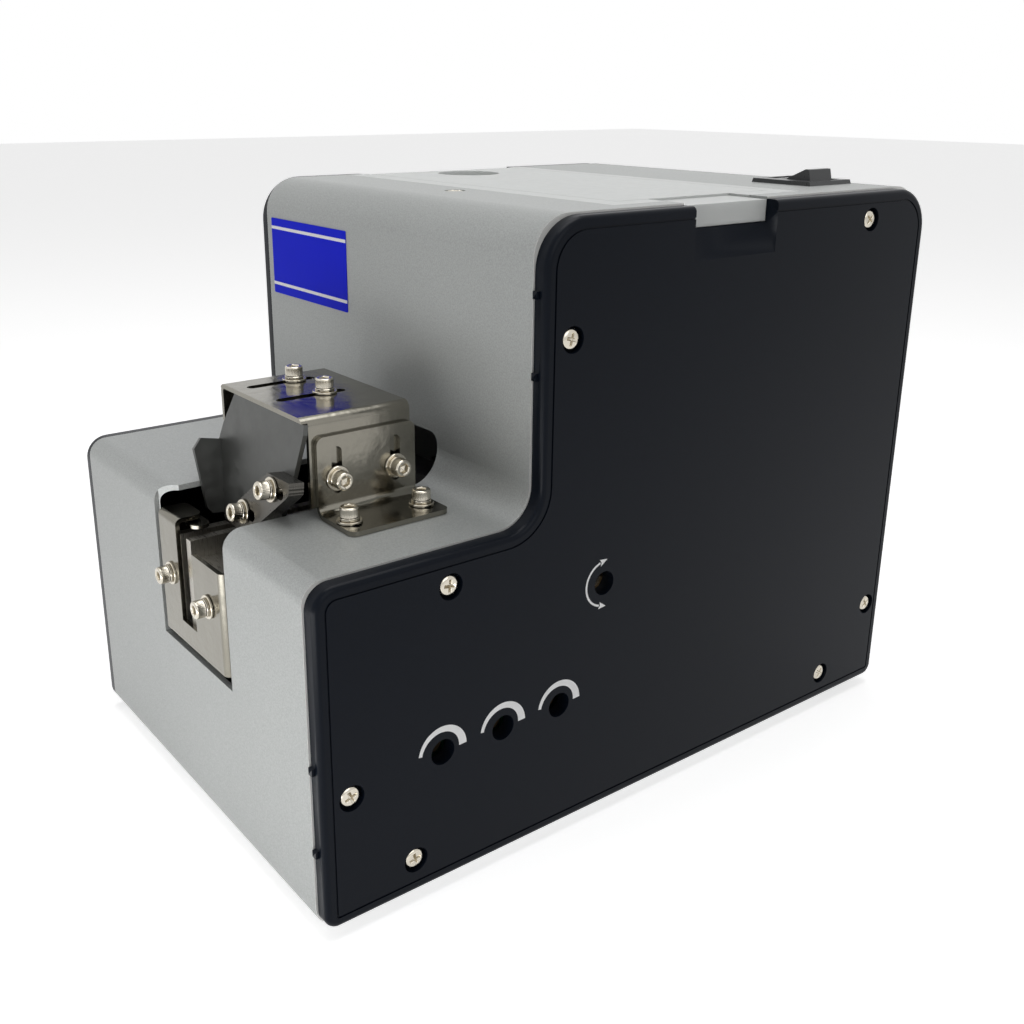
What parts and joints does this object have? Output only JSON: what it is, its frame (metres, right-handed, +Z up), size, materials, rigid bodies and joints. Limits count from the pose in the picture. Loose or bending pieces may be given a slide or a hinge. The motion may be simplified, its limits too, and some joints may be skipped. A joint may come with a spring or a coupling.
{
  "type": "automatic screw feeder",
  "caption": "Desktop automatic screw feeder: hopper with sliding lid, feed wheel, vibrating twin rail with adjustable gap, slotted hood and height bar, notched pick-up front, control side panel",
  "frame": {"origin": "middle of the overall footprint, on the plane that the rubber feet stand on", "axes": "+X to the control side panel, -Y to the front where the screws are picked up, +Z up"},
  "size_m": [0.136, 0.212, 0.1653],
  "materials": {
    "housing_paint": "silver-grey powder coat with a fine sand texture",
    "panel_paint": "blue-black, semi-gloss",
    "nickel_plate": "bright warm nickel plating",
    "polished_steel": "dark polished sheet",
    "milled_steel": "milled, bare",
    "zinc_steel": "zinc plated, dull",
    "screw_steel": "nickel plated",
    "black_steel": "black oxide",
    "frosted_plastic": "frosted, near white",
    "grey_plastic": "matte",
    "black_plastic": "matte",
    "switch_plastic": "satin black",
    "rubber": "matte",
    "bronze": "satin",
    "copper_wire": "enamelled winding wire",
    "circuit_board": "satin",
    "trimmer_plastic": "matte"
  },
  "bodies": {
    "machine": {"housing_shell": "housing_paint", "base_plate": "zinc_steel", "right_side_panel": "panel_paint", "left_side_panel": "panel_paint", "panel_screws": "screw_steel", "rubber_feet": "rubber", "foot_screws": "screw_steel", "hopper_bin": "grey_plastic", "hopper_frame": "frosted_plastic", "top_screw": "screw_steel", "switch_body": "switch_plastic", "bracket_screws": "screw_steel", "magnet_coil": "copper_wire", "magnet_core": "zinc_steel", "vibrator_base": "zinc_steel", "isolators": "rubber", "shaft_bush": "bronze", "gear_motor": "zinc_steel", "motor_spacers": "zinc_steel", "gate_guide": "black_plastic", "adjuster_bush": "bronze", "crank_bearing": "black_plastic", "sensor_block": "black_plastic", "sensor_screw": "black_steel", "control_board": "circuit_board", "board_posts": "zinc_steel", "board_screws": "screw_steel", "trimmer_bodies": "trimmer_plastic", "power_socket": "black_plastic", "socket_nut": "screw_steel"},
    "lid": {"hopper_lid": "frosted_plastic"},
    "rocker": {"switch_rocker": "switch_plastic"},
    "bracket": {"angle_bracket": "nickel_plate"},
    "hood_unit": {"hood": "nickel_plate", "hood_screws": "screw_steel"},
    "guide_unit": {"guide_plate": "polished_steel", "guide_screws": "screw_steel", "bar_screws": "screw_steel"},
    "bar": {"height_bar": "milled_steel"},
    "track": {"front_plate": "nickel_plate", "front_screw_left": "screw_steel", "stop_finger": "nickel_plate", "left_rail": "milled_steel", "rail_carrier": "zinc_steel", "leaf_springs": "polished_steel", "armature": "zinc_steel"},
    "rail_slide": {"right_rail": "milled_steel", "front_screw_right": "screw_steel"},
    "wheel": {"feed_wheel": "black_plastic", "wheel_shaft": "milled_steel"},
    "gate": {"lock_gate": "nickel_plate"},
    "adjuster": {"gate_adjuster": "milled_steel"},
    "speed_knob": {"speed_trimmer": "bronze"},
    "vibrator_knob": {"vibrator_trimmer": "bronze"},
    "roller_knob": {"roller_trimmer": "bronze"}
  },
  "joints": [
    {"name": "lid_slide", "type": "slide", "parent": "machine", "child": "lid", "axis": [-1, 0, 0], "range_m": [0, 0.06]},
    {"name": "power_rocker", "type": "hinge", "parent": "machine", "child": "rocker", "pos_m": [0.039, 0.0828, 0.1608], "axis": [0, 1, 0], "range_deg": [0, 20]},
    {"name": "bracket_shift", "type": "slide", "parent": "machine", "child": "bracket", "axis": [1, 0, 0], "range_m": [0, 0.0012]},
    {"name": "hood_height", "type": "slide", "parent": "bracket", "child": "hood_unit", "axis": [0, 0, 1], "range_m": [-0.001, 0.006]},
    {"name": "guide_reach", "type": "slide", "parent": "hood_unit", "child": "guide_unit", "axis": [0, -1, 0], "range_m": [0, 0.0012]},
    {"name": "bar_shift", "type": "slide", "parent": "guide_unit", "child": "bar", "axis": [1, 0, 0], "range_m": [-0.004, 0]},
    {"name": "track_vibration", "type": "slide", "parent": "machine", "child": "track", "axis": [0, 1, 0], "range_m": [-0.0003, 0.0003], "stiffness_N_per_m": 20000},
    {"name": "rail_gap", "type": "slide", "parent": "track", "child": "rail_slide", "axis": [1, 0, 0], "range_m": [-0.002, 0.0012]},
    {"name": "feed_wheel_turn", "type": "hinge", "parent": "machine", "child": "wheel", "pos_m": [-0.024, 0.0233, 0.083], "axis": [1, 0, 0], "continuous": true},
    {"name": "gate_adjust", "type": "hinge", "parent": "machine", "child": "adjuster", "pos_m": [0.04, -0.019, 0.0687], "axis": [1, 0, 0], "range_deg": [-35, 35]},
    {"name": "gate_height", "type": "slide", "parent": "machine", "child": "gate", "axis": [0, 0, 1], "range_m": [-0.0029, 0.0029]},
    {"name": "speed_set", "type": "hinge", "parent": "machine", "child": "speed_knob", "pos_m": [0.06, -0.0691, 0.0388], "axis": [1, 0, 0], "range_deg": [-135, 135]},
    {"name": "vibrator_set", "type": "hinge", "parent": "machine", "child": "vibrator_knob", "pos_m": [0.06, -0.0511, 0.0388], "axis": [1, 0, 0], "range_deg": [-135, 135]},
    {"name": "roller_set", "type": "hinge", "parent": "machine", "child": "roller_knob", "pos_m": [0.06, -0.0331, 0.0388], "axis": [1, 0, 0], "range_deg": [-135, 135]}
  ],
  "couplings": [
    {"joint": "gate_adjust", "follows": "gate_height", "rad_per_m": 208.33}
  ]
}
